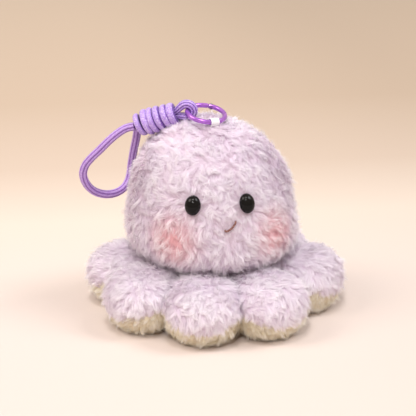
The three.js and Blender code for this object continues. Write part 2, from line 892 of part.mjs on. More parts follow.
// Knot: the cord wound round its own two legs, as one unbroken tube drawn tight
function knotWraps() {
    const stepsPerTurn = 24;
    const sides = 6;
    const turns = (knotLength - wrapWide) / wrapPitch;
    const steps = Math.round(turns * stepsPerTurn);
    const start = knotStart + knotLength - wrapWide / 2;
    const rings = [];
    for (let i = 0; i <= steps; i += 1) {
        const share = i / steps;
        const turn = (2 * Math.PI * i) / stepsPerTurn;
        const radius = wrapRadiusOuterEnd + (wrapRadiusRingEnd - wrapRadiusOuterEnd) * share;
        const outward = new THREE.Vector3(0, -Math.cos(turn), Math.sin(turn));
        const centre = outward.clone().multiplyScalar(radius);
        centre.x = start - wrapPitch * (i / stepsPerTurn);
        const halfA = outward.multiplyScalar(wrapThick / 2);
        rings.push(ovalSection(centre, halfA, new THREE.Vector3(wrapWide / 2, 0, 0), sides));
    }
    const endTurn = (2 * Math.PI * steps) / stepsPerTurn;
    const lead = new THREE.Vector3(0, 0, -wrapThick);
    const trail = new THREE.Vector3(0, Math.sin(endTurn), Math.cos(endTurn)).multiplyScalar(wrapThick);
    rings.unshift(rings[0].map((point) => point.clone().add(lead)));
    rings.push(rings[rings.length - 1].map((point) => point.clone().add(trail)));
    console.log(`knot_wraps least gap ${leastGap(rings, stepsPerTurn).toFixed(2)} mm`);
    return tubeThrough(rings);
}

// Hand loop: the free stretch of cord, along a route chosen by hand
function strapLoop() {
    const sides = 10;
    const section = new THREE.Shape();
    for (let j = 0; j < sides; j += 1) {
        const turn = (2 * Math.PI * j) / sides;
        const x = (cordDiameter / 2) * Math.cos(turn);
        const y = (cordDiameter / 2) * Math.sin(turn);
        if (j === 0) {
            section.moveTo(x, y);
        } else {
            section.lineTo(x, y);
        }
    }
    section.closePath();
    const route = new THREE.CatmullRomCurve3(cordRoute.map((point) => new THREE.Vector3(...point)));
    const length = route.getLength();
    console.log(`strap_loop length ${length.toFixed(1)} mm`);
    const steps = Math.round(length / cordDiameter);
    return new THREE.ExtrudeGeometry(section, { steps, extrudePath: route, bevelEnabled: false });
}

buildHead();
buildSkirt();

const ring = new THREE.Group();
ring.applyMatrix4(ringFrame);
part.add(ring);
buildRing(ring);

const strap = new THREE.Group();
strap.applyMatrix4(strapFrame);
ring.add(strap);
addMesh(strap, 'strap_eye', strapEye(), lavenderCord);
addMesh(strap, 'knot_wraps', knotWraps(), lavenderCord);
addMesh(part, 'strap_loop', strapLoop(), lavenderCord);

export default part;
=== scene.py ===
"""A shaggy toy octopus on a sprung key ring with a knotted hand strap, dressed over its CAD frame.

Shapes are worked out in millimetres and become metres when a piece is made.
"""

import math

import bmesh
import bpy
import numpy as np
from mathutils import Matrix, Vector


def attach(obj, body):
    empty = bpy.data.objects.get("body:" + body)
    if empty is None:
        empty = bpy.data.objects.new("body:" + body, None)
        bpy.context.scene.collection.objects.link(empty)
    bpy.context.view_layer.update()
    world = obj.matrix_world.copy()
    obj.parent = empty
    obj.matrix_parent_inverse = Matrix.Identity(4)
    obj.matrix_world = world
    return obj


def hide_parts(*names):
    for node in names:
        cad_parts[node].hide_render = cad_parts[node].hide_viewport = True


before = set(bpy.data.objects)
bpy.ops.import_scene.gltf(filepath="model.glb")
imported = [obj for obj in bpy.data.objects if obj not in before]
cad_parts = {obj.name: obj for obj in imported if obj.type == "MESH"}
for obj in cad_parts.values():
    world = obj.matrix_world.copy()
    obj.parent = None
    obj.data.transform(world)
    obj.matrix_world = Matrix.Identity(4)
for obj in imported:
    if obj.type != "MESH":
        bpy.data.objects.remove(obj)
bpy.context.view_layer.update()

MM = 0.001
UP = np.array([0.0, 0.0, 1.0])

# The toy's own sizes, as in the CAD source
GAP = 0.3
NECK = 31.5
HEAD_RADIUS = 52.5
HEAD_WIDEST = 53.0
HEAD_RISE = 68.5
HEAD_DROP = 23.0
HEAD_SHIFT = -0.6
HEAD_LEAN = -0.045
CROWN = HEAD_WIDEST + HEAD_RISE
TENTACLES = [-104, -57, -15, 25, 76, 127, 169, 211]
TENTACLE_CENTRE = 57.5
TENTACLE_LENGTH = 22.5
TENTACLE_ROOT = 38.0
TENTACLE_WIDTH = 23.0
TENTACLE_RISE = 18.0
TENTACLE_DROP = 19.0
TENTACLE_MIDDLE = 18.5
SEAM = 9.0
SEAM_FLANK = 7.0
EYE_LEVEL = 80.7
EYE_SPACING = 31.1
EYE_TURN = -1.4
RING_RADIUS = 11.5
WIRE_RADIUS = 1.5
HINGE_FACE = 77.0
LATCH = -3.0
LATCH_SLOPE = 50.0
PIN_ANGLE = HINGE_FACE - math.degrees(2.1 / RING_RADIUS)
PIN_RADIUS = 0.5
EAR_RADIUS = 1.6
TONGUE_HALF = 0.5
SLOT_HALF = 0.85
RIBBON_ANGLE = 287
CORD = 5.0
STRAP_ANGLE = 165.0
STRAP_DROOP = 27.5
KNOT_START = 8.2


# Camera

PHOTO_PIXELS = 416
CAMERA_TURN = math.radians(-8.5)
CAMERA_RISE = math.radians(17.5)
CAMERA_DISTANCE = 0.7
CAMERA_AIM = Vector((0, 0, 0.062))


def added(name, data):
    """A new object of the scene."""
    made = bpy.data.objects.new(name, data)
    bpy.context.scene.collection.objects.link(made)
    return made


def place_camera():
    """The photograph's viewpoint: a little to the toy's right side and above it."""
    level = math.cos(CAMERA_RISE)
    back = Vector((
        math.sin(CAMERA_TURN) * level, -math.cos(CAMERA_TURN) * level, math.sin(CAMERA_RISE),
    ))
    data = bpy.data.cameras.new("camera")
    data.sensor_width, data.lens = 36, 96.2
    data.shift_x, data.shift_y = -6.5 / PHOTO_PIXELS, 2 / PHOTO_PIXELS
    camera = added("camera", data)
    camera.location = CAMERA_AIM + back * CAMERA_DISTANCE
    camera.rotation_euler = back.to_track_quat("Z", "Y").to_euler()
    bpy.context.scene.camera = camera


place_camera()


# Shader writing


def linear(red, green, blue):
    """A colour as it looks on screen, 0 to 255, as the linear colour that shaders take."""
    shares = [value / 255 for value in (red, green, blue)]
    return (*[c / 12.92 if c <= 0.04045 else ((c + 0.055) / 1.055) ** 2.4 for c in shares], 1.0)


class Wire:
    """A shader socket that takes part in Python arithmetic."""

    def __init__(self, wiring, socket):
        self.wiring, self.socket = wiring, socket

    def reckon(self, operation, *values):
        return self.wiring.node("Math", dict(enumerate(values)), operation=operation)

    def __add__(self, other):
        return self.reckon("ADD", self, other)

    def __sub__(self, other):
        return self.reckon("SUBTRACT", self, other)

    def __rsub__(self, other):
        return self.reckon("SUBTRACT", other, self)

    def __mul__(self, other):
        return self.reckon("MULTIPLY", self, other)

    __radd__, __rmul__ = __add__, __mul__


class Wiring:
    """The nodes of a material, or of the world."""

    def __init__(self, tree):
        self.tree = tree

    def node(self, kind, sockets, output=0, stops=(), **settings):
        """A new node: its settings and a ramp's stops, then its sockets' values and links."""
        made = self.tree.nodes.new("ShaderNode" + kind)
        for name, value in settings.items():
            setattr(made, name, value)
        if stops:
            ramp = made.color_ramp.elements
            while len(ramp) < len(stops):
                ramp.new(0.5)
            for stop, (position, colour) in zip(ramp, stops):
                stop.position, stop.color = position, colour
        for name, value in sockets.items():
            if isinstance(value, Wire):
                self.join(value, made.inputs[name])
            else:
                made.inputs[name].default_value = value
        return Wire(self, made.outputs[output])

    def join(self, wire, socket):
        self.tree.links.new(wire.socket, socket)

    def blend(self, share, first, second, way="MIX"):
        """Two colours mixed, each a wire or a colour from 0 to 255 as it looks on screen."""
        first, second = (c if isinstance(c, Wire) else linear(*c) for c in (first, second))
        sockets = {0: share, 6: first, 7: second}
        return self.node("Mix", sockets, 2, data_type="RGBA", blend_type=way)


class Paint(Wiring):
    """A material being written: its nodes, and the shader that they feed."""

    def __init__(self, name, **plain):
        self.material = bpy.data.materials.new(name)
        self.material.use_nodes = True
        super().__init__(self.material.node_tree)
        self.tree.nodes.clear()
        self.shader = self.tree.nodes.new("ShaderNodeBsdfPrincipled")
        self.surface = self.tree.nodes.new("ShaderNodeOutputMaterial").inputs["Surface"]
        self.tree.links.new(self.shader.outputs[0], self.surface)
        for name, value in plain.items():
            name = name.replace("_", " ").title().replace("Ior", "IOR")
            self.shader.inputs[name].default_value = value

    def place(self):
        return self.node("TexCoord", {}, "Object")

    def along(self, axis):
        return self.node("SeparateXYZ", {0: self.place()}, axis)

    def stored(self, name):
        return self.node("Attribute", {}, "Fac", attribute_name=name)

    def noise(self, scale, detail=2.0, roughness=0.5):
        sockets = {"Vector": self.place(), "Scale": scale, "Detail": detail, "Roughness": roughness}
        return self.node("TexNoise", sockets, "Fac")

    def between(self, wire, low, high):
        """0 up to the low value, 1 from the high one, with a smooth rise from one to the other."""
        sockets = {"Value": wire, "From Min": low, "From Max": high}
        return self.node("MapRange", sockets, interpolation_type="SMOOTHSTEP")

    def shaded(self, colour, light):
        """A colour made darker or lighter by a number that changes over the surface."""
        grey = self.node("CombineXYZ", {0: light, 1: light, 2: light})
        return self.blend(1.0, colour, grey, "MULTIPLY")

    def near(self, centre, radius, feather):
        """1 at a point of the toy, falling to 0 with distance in metres."""
        sockets = {0: self.place(), 1: centre}
        apart = self.node("VectorMath", sockets, "Value", operation="DISTANCE")
        return 1 - self.between(apart, radius - feather, radius + feather)

    def bump(self, height, depth, strength):
        sockets = {"Height": height, "Distance": depth, "Strength": strength}
        self.feed("Normal", self.node("Bump", sockets))

    def feed(self, name, wire):
        self.join(wire, self.shader.inputs[name])

    def let_through(self, share, colour):
        """Thin fibres pass part of the light on to their far side, in one plain colour."""
        through = self.node("BsdfTranslucent", {"Color": linear(*colour)})
        sockets = {0: share, 1: Wire(self, self.shader.outputs[0]), 2: through}
        self.join(self.node("MixShader", sockets), self.surface)


def mottled(name, first, second, *grain, **plain):
    """A finish of two close tones in a fine mottle."""
    paint = Paint(name, **plain)
    paint.feed("Base Color", paint.blend(paint.noise(*grain), first, second))
    return paint


def repaint(node, paint):
    """Gives a CAD node, whose shape stays, a better material."""
    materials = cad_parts[node].data.materials
    materials.clear()
    materials.append(paint.material)


# Mesh making


def new_mesh(points, faces, smooth=True):
    """A mesh in metres from points in millimetres."""
    mesh = bpy.data.meshes.new("shape")
    mesh.from_pydata((np.asarray(points, float) * MM).tolist(), [], [tuple(f) for f in faces])
    mesh.validate()
    mesh.polygons.foreach_set("use_smooth", [smooth] * len(mesh.polygons))
    mesh.update()
    return mesh


def store(mesh, key, values):
    """Keeps a number at each point of a mesh, for its paint to read."""
    kept = mesh.attributes.new(key, "FLOAT", "POINT")
    kept.data.foreach_set("value", np.asarray(values, np.float32))


def new_piece(name, mesh, paint, body, slot, *nodes):
    """An object of the toy that rides on a body and stands for the CAD nodes named."""
    mesh.name = name
    mesh.materials.append(paint.material)
    piece = added(name, mesh)
    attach(piece, body)
    if nodes:
        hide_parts(*nodes)
    return piece


def unit(vectors):
    return vectors / np.maximum(np.linalg.norm(vectors, axis=-1, keepdims=True), 1e-9)


def squared(direction, axis):
    """A direction without its part along an axis."""
    return unit(direction - axis * np.sum(direction * axis, -1, keepdims=True))


def eased(values, low, high):
    share = np.clip((values - low) / (high - low), 0, 1)
    return share * share * (3 - 2 * share)


def basis(x, y, z, origin):
    """A 4 by 4 frame from three axes and an origin."""
    return np.vstack([np.stack([x, y, z, origin], 1), [0, 0, 0, 1]])


def placed(matrix, points):
    return np.asarray(points, float) @ matrix[:3, :3].T + matrix[:3, 3]


def circled(sides):
    """Cosines and sines of a whole turn's steps."""
    angles = np.linspace(0, 2 * np.pi, sides, endpoint=False)
    return np.cos(angles), np.sin(angles)


def grid_faces(rows, columns, wrap=True):
    """Quads over a grid of points, row by row, closed round its columns if it wraps."""
    reach = columns if wrap else columns - 1
    i, j = np.meshgrid(np.arange(rows - 1), np.arange(reach), indexing="ij")
    after = (j + 1) % columns
    quads = [i * columns + j, i * columns + after, (i + 1) * columns + after, (i + 1) * columns + j]
    return np.stack(quads, -1).reshape(-1, 4).tolist()


def tube_faces(rows, sides):
    """The faces of a tube, with one flat face at each end."""
    last = (rows - 1) * sides
    return [*grid_faces(rows, sides), list(range(sides))[::-1], list(range(last, last + sides))]


def net(rows, columns, edge=0.0):
    """(down, around) places over a whole surface, row by row, and the quads between them."""
    down, around = np.meshgrid(
        np.linspace(edge, 1 - edge, rows), np.linspace(0, 1, columns), indexing="ij")
    quads = np.array(grid_faces(rows, columns, wrap=False))[:, ::-1]
    return np.stack([down.ravel(), around.ravel()], 1), quads


def lathe(profile, sides):
    """A closed turned form about Z. The profile runs from the axis to the axis, bottom first."""
    profile = np.asarray(profile, float)
    cos, sin = circled(sides)
    inner = profile[1:-1]
    rings = [inner[:, :1] * cos, inner[:, :1] * sin, np.repeat(inner[:, 1:], sides, 1)]
    ends = [[0, 0, profile[0, 1]], [0, 0, profile[-1, 1]]]
    points = np.vstack([np.stack(rings, -1).reshape(-1, 3), ends])
    count = len(inner)
    faces = grid_faces(count, sides)
    low, high, last = count * sides, count * sides + 1, (count - 1) * sides
    for j in range(sides):
        after = (j + 1) % sides
        faces += [[low, after, j], [high, last + j, last + after]]
    return points, faces


def frames_along(path, first_side):
    """Side and upward directions that turn with a path and don't twist round it."""
    ahead = unit(np.gradient(path, axis=0))
    sides = [squared(first_side, ahead[0])]
    for direction in ahead[1:]:
        sides.append(squared(sides[-1], direction))
    return np.array(sides), np.cross(ahead, sides)


def travelled(path):
    """How far along a path each of its points is."""
    return np.concatenate([[0], np.cumsum(np.linalg.norm(np.diff(path, axis=0), axis=1))])


def resampled(path, step):
    """The same path with points a step apart, and how far along it each one is."""
    path = np.asarray(path, float)
    run = travelled(path)
    marks = np.linspace(0, run[-1], max(int(round(run[-1] / step)), 2) + 1)
    return np.stack([np.interp(marks, run, path[:, k]) for k in range(3)], 1), marks


def smooth_path(points, per_span):
    """A cubic curve through all the points, with so many steps to a span."""
    p = np.asarray(points, float)
    p = np.vstack([2 * p[0] - p[1], p, 2 * p[-1] - p[-2]])
    t = np.linspace(0, 1, per_span, endpoint=False)[:, None]
    spans = []
    for a, b, c, d in zip(p, p[1:], p[2:], p[3:]):
        spans.append(0.5 * (2 * b + (c - a) * t + (2 * a - 5 * b + 4 * c - d) * t**2
                            + (3 * b - a - 3 * c + d) * t**3))
    return np.vstack([*spans, p[-2:-1]])


def tube(centres, side, upward, radii):
    """Points and faces of a tube whose radius is given for each step and side."""
    cos, sin = circled(radii.shape[1])
    ring = side[:, None] * cos[None, :, None] + upward[:, None] * sin[None, :, None]
    return (centres[:, None] + ring * radii[..., None]).reshape(-1, 3), tube_faces(*radii.shape)


# Frames of the ring, the ribbon and the strap


def lean_x(height):
    return HEAD_SHIFT + HEAD_LEAN * (height - NECK)


def on_ring(angle, radius=RING_RADIUS):
    """A point of the ring's circle, in the ring's own frame."""
    angle = np.radians(angle)
    return np.stack([radius * np.cos(angle), radius * np.sin(angle), 0 * angle], -1)


def turned(axis, degrees):
    return np.array(Matrix.Rotation(math.radians(degrees), 4, axis))


ring_centre = np.array([lean_x(CROWN) - 1.5, -6.5, CROWN + 4.1])
ring_normal = unit(np.array([math.tan(math.radians(5.8)), -math.tan(math.radians(14)), 1.0]))
ring_x = squared(np.array([1.0, 0, 0]), ring_normal)
RING = basis(ring_x, np.cross(ring_normal, ring_x), ring_normal, ring_centre)
strap_place = turned("Z", STRAP_ANGLE) @ turned("Y", STRAP_DROOP)
strap_place[:3, 3] = on_ring(STRAP_ANGLE)
STRAP = RING @ strap_place


# Strap: braided cord

CORD_SIDES = 48


def braid(around, along, columns, stitch):
    """Height, 0 to 1, of a braided cord's stitches: columns of slanted stitches side by side."""
    column = around * columns
    across = column - np.floor(column)
    way = np.where(np.floor(column) % 2 == 0, 1, -1)
    climb = along / stitch + 1.1 * (across - 0.5) * way
    ridge = np.sin(np.pi * across) ** 0.7
    return ridge * (0.8 + 0.2 * np.abs(np.sin(np.pi * climb)))


def cord_paint(name, light, deep, speckle):
    """Braided polyester: painted shade deep between the stitches, lighter and a little glossy on
    them.
    """
    paint = Paint(name, roughness=0.42, specular_ior_level=0.45, sheen_weight=0.25,
                  sheen_roughness=0.4)
    # Painted shade: darker where the braid lies low and, in the knot, where turns press together.
    shade = paint.between(paint.stored("relief"), 0.15, 0.95)
    colour = paint.blend(shade, deep, light)
    fleck = paint.between(paint.noise(1600), 0.48, 0.6) * speckle * shade
    colour = paint.blend(fleck, colour, (236, 222, 255))
    paint.feed("Base Color", paint.shaded(colour, paint.noise(90) * 0.3 + 0.85))
    paint.bump(paint.noise(2600), 0.00012, 0.5)
    return paint


loop_paint = cord_paint("braided_cord", (188, 148, 224), (122, 76, 162), 0.35)
wrap_paint = cord_paint("wound_cord", (176, 138, 225), (92, 44, 148), 0.7)


def cord_piece(name, node, paint, path, side, section, step, weave, groove=0):
    """A braided cord, and the points that it follows.

    Its section is half widths and half thicknesses at even steps, and its weave is columns, a
    stitch's length and depth. Groove is the share of painted shade from lying low between two
    turns.
    """
    centres, marks = resampled(path, step)
    share = marks / marks[-1]

    def spread(values):
        return np.interp(share, np.linspace(0, 1, len(values)), values)

    if np.ndim(side) == 2:
        ahead = unit(np.gradient(centres, axis=0))
        across = squared(np.stack([spread(column) for column in np.transpose(side)], 1), ahead)
        upward = np.cross(ahead, across)
    else:
        across, upward = frames_along(centres, side)
    cos, sin = circled(CORD_SIDES)
    wide, thick = (spread(half)[:, None] for half in section)
    power = 2.3 - 0.4 * groove
    oval = (np.abs(cos / wide) ** power + np.abs(sin / thick) ** power) ** (-1 / power)
    columns, stitch, relief = weave
    height = braid(np.arange(CORD_SIDES)[None] / CORD_SIDES, marks[:, None], columns, stitch)
    mesh = new_mesh(*tube(centres, across, upward, oval + relief * (height - 0.6)))
    # Painted shade kept on the points: low between stitches and, with a groove, on the sides where
    # turns meet.
    shade = height * (1 - groove) + eased(cos, 0.1, 0.8) * groove
    store(mesh, "relief", shade.ravel())
    return new_piece(name, mesh, paint, "strap", "lavender_cord", node), centres


# The free loop's route, as in the CAD source
LOOP_ROUTE = [
    (-48.5, 7.2, 116.1), (-52.2, 8.4, 115.2), (-55.6, 8.7, 113.8), (-60.4, 8.8, 110.6),
    (-65.4, 9.3, 106.2), (-70.5, 10.2, 101.0), (-75.4, 11.3, 96.2), (-79.2, 12.4, 91.4),
    (-80.9, 13.5, 86.0), (-80.1, 14.9, 80.6), (-77.5, 16.7, 75.6), (-73.3, 18.7, 71.6),
    (-67.2, 21.4, 69.0), (-61.0, 24.2, 68.7), (-55.4, 27.0, 70.8), (-51.9, 29.0, 75.2),
    (-50.3, 29.5, 80.6), (-49.7, 28.2, 86.2), (-49.0, 25.2, 92.2), (-48.2, 21.4, 98.6),
    (-47.2, 17.6, 105.0), (-46.6, 14.8, 110.2), (-46.2, 13.4, 114.4),
]


def make_hand_loop():
    half = [CORD / 2 - 0.05] * 2
    loop, line = cord_piece("hand_loop", "strap_loop", loop_paint, smooth_path(LOOP_ROUTE, 16),
                            np.array([0.3, -1, 0]), (half, half), 0.42, (7, 3.4, 0.36))


def make_strap_eye():
    """The cord's bend over the ring's wire, its two legs drawn together into the knot."""
    middle_x, middle_z, radius, leg_offset, leg_depth = 0.1, 0.2, 4.1, 1.5, 14

    def leg(sign):
        top, foot = middle_z + sign * radius, sign * leg_offset
        shares = np.linspace(0, 1, 9)[1:]
        made = [(middle_x + (KNOT_START - middle_x) * t, top + (foot - top) * eased(t, 0, 1))
                for t in shares]
        return [*made, (KNOT_START + leg_depth, foot)]

    bend = [(middle_x + radius * math.cos(a), middle_z + radius * math.sin(a))
            for a in np.radians(np.linspace(90, 270, 13))]
    route = [*leg(1)[::-1], *bend, *leg(-1)]
    half = np.interp(np.linspace(0, 1, 9), [0, 0.2, 0.36, 0.64, 0.8, 1],
                     [1.35, 1.5, 2.45, 2.45, 1.5, 1.35])
    path = placed(STRAP, smooth_path([(x, 0, z) for x, z in route], 8))
    cord_piece("strap_eye_cord", "strap_eye", wrap_paint, path, STRAP[:3, 1], (half, half), 0.4,
               (8, 2.2, 0.3))


def make_knot():
    """The cord wound round its own two legs, its turns fuller and more upright near the ring."""
    marks = [0, 0.25, 1.25, 2.25, 3.25, 4.25, 5.25, 5.65, 6.0]
    turn = np.linspace(0, marks[-1], 440)
    along = np.interp(turn, marks, [33.0, 32.3, 26.9, 23.2, 18.9, 14.3, 9.8, 9.3, 8.6])
    along = np.convolve(np.pad(along, 15, mode="edge"), np.full(31, 1 / 31), "valid")
    radius = np.interp(turn, marks, [4.6, 5.0, 6.3, 6.2, 5.9, 5.5, 5.2, 4.9, 3.4])
    angle = 2 * np.pi * turn
    outward = np.stack([0 * turn, -np.cos(angle), np.sin(angle)], 1)
    path = outward * radius[:, None]
    path[:, 0] = along
    path = np.vstack([path[0] + [0.6, 0.3, -3.4], path])
    outward = np.vstack([outward[0], outward])
    half_along = np.interp(np.linspace(0, marks[-1], 25), marks,
                           [1.7, 1.9, 2.15, 2.1, 2.3, 2.4, 2.8, 2.7, 2.0])
    section = ([2.0, 2.1, 2.2], half_along)
    cord_piece("knot_cord", "knot_wraps", wrap_paint, placed(STRAP, path),
               outward @ STRAP[:3, :3].T, section, 0.42, (16, 1.5, 0.12), groove=0.65)


make_hand_loop()
make_strap_eye()
make_knot()


# Key ring

CUT, JOIN = "DIFFERENCE", "UNION"


def metal_paint():
    """Purple lacquer over metal, with soft wear and the faint ripple of a dipped coat."""
    paint = Paint("purple_lacquer", metallic=0.55, roughness=0.22, coat_weight=0.6,
                  coat_roughness=0.08)
    patches = paint.between(paint.noise(220, 3), 0.35, 0.75)
    paint.feed("Base Color", paint.blend(patches, (158, 92, 200), (190, 124, 226)))
    paint.feed("Roughness", paint.noise(700) * 0.12 + 0.16)
    paint.bump(paint.noise(420), 0.00003, 0.4)
    return paint


def wire_arc(start, end, steps):
    """A round wire bent along the ring, in the ring's own frame."""
    angles = np.linspace(start, end, steps)
    down = np.repeat([-UP], steps, 0)
    radii = np.full((steps, 28), WIRE_RADIUS)
    return new_mesh(*tube(on_ring(angles), on_ring(angles, 1.0), down, radii))


def prism(outline, half):
    """A prism over an outline in the ring's plane, reaching as far below the plane as above it."""
    points = [(x, y, z) for z in (-half, half) for x, y in outline]
    return new_mesh(points, tube_faces(2, len(outline)), smooth=False)


def circle(centre, radius):
    return [(centre[0] + radius * c, centre[1] + radius * s) for c, s in zip(*circled(40))]


def half_plane(point, direction, side):
    """A square on one side of a line in the ring's plane, large enough to cut the wire."""
    reach = 9.0
    along = direction[:2] * reach
    across = np.array([-direction[1], direction[0]]) * side * reach
    edge = [point[:2] + along, point[:2] - along]
    return [*edge, edge[1] + across, edge[0] + across][::-side]


def hinge_strip(pin, to_angle, half):
    """The outline of a strip from the pin along the wire, rounded about the pin."""
    towards = on_ring(to_angle)[:2] - pin[:2]
    length, heading = np.hypot(*towards), math.atan2(towards[1], towards[0])
    bow = np.linspace(np.pi / 2, 1.5 * np.pi, 20)
    outline = [(half * math.cos(a), half * math.sin(a)) for a in bow]
    outline += [(length, -half), (length, half)]
    c, s = math.cos(heading), math.sin(heading)
    return [(pin[0] + c * x - s * y, pin[1] + s * x + c * y) for x, y in outline]


def carved(mesh, *changes):
    """The mesh after each cut or join, given as (operation, other mesh)."""
    body = added("carving", mesh)
    tools = []
    for operation, other in changes:
        tools.append(added("tool", other))
        change = body.modifiers.new("cut", "BOOLEAN")
        change.operation, change.object, change.solver = operation, tools[-1], "EXACT"
    bpy.context.view_layer.update()
    finished = body.evaluated_get(bpy.context.evaluated_depsgraph_get())
    result = bpy.data.meshes.new_from_object(finished)
    for thing in [*tools, body]:
        bpy.data.objects.remove(thing)
    return result


def softened(mesh):
    """Moves a carved mesh to the ring's place on the toy and rounds its sharp edges a little."""
    local = Matrix(RING.tolist())
    local.translation *= MM
    mesh.transform(local)
    work = bmesh.new()
    work.from_mesh(mesh)
    bmesh.ops.remove_doubles(work, verts=work.verts, dist=0.002 * MM)
    sharp = [e for e in work.edges if len(e.link_faces) == 2 and e.calc_face_angle(0) > 0.6]
    bmesh.ops.bevel(work, geom=sharp, offset=0.1 * MM, segments=2, affect="EDGES",
                    clamp_overlap=True)
    work.to_mesh(mesh)
    work.free()
    mesh.polygons.foreach_set("use_smooth", [True] * len(mesh.polygons))
    mesh.set_sharp_from_angle(angle=math.radians(50))
    return mesh


def make_ring():
    """The long arc with its tongue, and the sprung gate with its slotted ears and sloped latch."""
    metal = metal_paint()
    tall = WIRE_RADIUS + GAP
    pin, radial, latch = on_ring(PIN_ANGLE), on_ring(PIN_ANGLE, 1.0), on_ring(LATCH)
    slope = math.radians(180 + LATCH_SLOPE)
    line = np.array([math.cos(slope), math.sin(slope)])
    clear = np.array([line[1], -line[0]]) * GAP
    hole = prism(circle(pin, PIN_RADIUS + GAP / 2), tall)
    tongue = hinge_strip(pin, HINGE_FACE + 3, WIRE_RADIUS - GAP / 2)
    body = carved(
        wire_arc(HINGE_FACE, 360 + LATCH + 12, 90),
        (CUT, prism(half_plane(latch, line, -1), tall)),
        (JOIN, prism(tongue, TONGUE_HALF)),
        (CUT, hole),
    )
    new_piece("ring_wire", softened(body), metal, "ring", "purple_metal", "ring_body")
    slot_radius = EAR_RADIUS + GAP
    beyond = carved(
        prism(half_plane(pin, radial, 1), tall + 0.1),
        (CUT, prism(circle(pin, EAR_RADIUS), 2 * tall)),
    )
    gate = carved(
        wire_arc(LATCH - 12, PIN_ANGLE + 9, 44),
        (CUT, prism(half_plane(latch[:2] + clear, line, 1), tall)),
        (CUT, beyond),
        (CUT, prism(circle(pin, slot_radius), SLOT_HALF)),
        (CUT, prism(hinge_strip(pin, HINGE_FACE + 9, slot_radius), SLOT_HALF + 0.001)),
        (CUT, hole),
    )
    new_piece("gate_wire", softened(gate), metal, "gate", "purple_metal", "ring_gate")
    steel = mottled("bright_steel", (150, 150, 156), (205, 205, 210), 900, metallic=1.0)
    steel.feed("Roughness", steel.noise(1400) * 0.2 + 0.25)
    for node in ("gate_pin", "gate_spring"):
        repaint(node, steel)


make_ring()


# Ribbon


def ribbon_paint():
    """White woven tape: fine weft ribs across it."""
    paint = Paint("woven_ribbon", roughness=0.5, sheen_weight=0.3, sheen_roughness=0.3)
    ribs = paint.stored("along") * 9.0
    weft = ribs.reckon("SINE", ribs)
    paint.feed("Base Color", paint.blend(weft * 0.5 + 0.5, (228, 226, 236), (250, 249, 253)))
    paint.bump(weft, 0.00006, 0.6)
    return paint


def make_ribbon():
    """The tape round the ring's wire, its two tails sewn into the crown side by side."""
    point = placed(RING, on_ring(RIBBON_ANGLE))
    along = RING[:3, :3] @ on_ring(RIBBON_ANGLE + 90, 1.0)
    height = CROWN
    for _ in range(6):
        spread = ((point[0] - lean_x(height)) ** 2 + point[1] ** 2) / HEAD_RADIUS**2
        height = HEAD_WIDEST + HEAD_RISE * math.sqrt(1 - spread)
    out = unit(np.array([
        (point[0] - lean_x(height)) / HEAD_RADIUS**2,
        point[1] / HEAD_RADIUS**2,
        (height - HEAD_WIDEST) / HEAD_RISE**2,
    ]))
    side = unit(np.cross(out, along))
    place = basis(side, np.cross(along, side), along, point)
    drop = (point[2] - height) * out[2]
    radius, tail, sewn_in = 2.2, 0.42, 3.5
    neck = math.asin(tail / radius)
    line = [(tail, -drop - sewn_in), (tail, -radius - 0.6)]
    line += [(radius * math.cos(a), radius * math.sin(a))
             for a in np.linspace(-np.pi / 2 + neck, 1.5 * np.pi - neck, 30)]
    line += [(-tail, -radius - 0.6), (-tail, -drop - sewn_in)]
    path, marks = resampled([(x, y, 0) for x, y in line], 0.25)
    face = np.cross(unit(np.gradient(path, axis=0)), UP)
    half_width, half_thickness, sides = 2.7, 0.3, 28
    cos, sin = circled(sides)
    across = (np.sign(cos) * np.abs(cos) ** 0.35 * half_width)[:, None] * UP
    thick = np.sign(sin) * np.abs(sin) ** 0.6 * half_thickness
    points = path[:, None] + across[None] + thick[None, :, None] * face[:, None]
    mesh = new_mesh(placed(place, points.reshape(-1, 3)), tube_faces(len(path), sides))
    store(mesh, "along", np.repeat(marks, sides))
    new_piece("ribbon_tape", mesh, ribbon_paint(), "head", "white_ribbon", "ribbon_loop")


make_ribbon()


# Surfaces under the fur


def head_surface(down, around):
    """A point of the head, from the crown (0) to the neck's rim (1), once around from 0 to 1."""
    lowest = math.asin(((HEAD_WIDEST - NECK) / HEAD_DROP) ** (1 / 0.85))
    angle = np.pi / 2 - down * (np.pi / 2 + lowest)
    cos, sin = np.cos(angle), np.sin(angle)
    above = sin >= 0
    radius = HEAD_RADIUS * np.where(above, cos, np.maximum(cos, 0) ** 0.8)
    height = HEAD_WIDEST + np.where(above, HEAD_RISE * sin, -HEAD_DROP * np.abs(sin) ** 0.85)
    radius, height, turn = np.broadcast_arrays(radius, height, 2 * np.pi * around)
    x, y = radius * np.sin(turn) + lean_x(height), -radius * np.cos(turn)
    return np.stack([x, y, height], -1)


def under_head(radius):
    """Height of the head's underside at a distance from its axis."""
    share = np.clip(radius / HEAD_RADIUS, 0, 1) ** 1.25
    height = HEAD_WIDEST - HEAD_DROP * np.sqrt(1 - share**2) ** 0.85
    return np.where(radius < HEAD_RADIUS, np.maximum(height, NECK), 1e3)


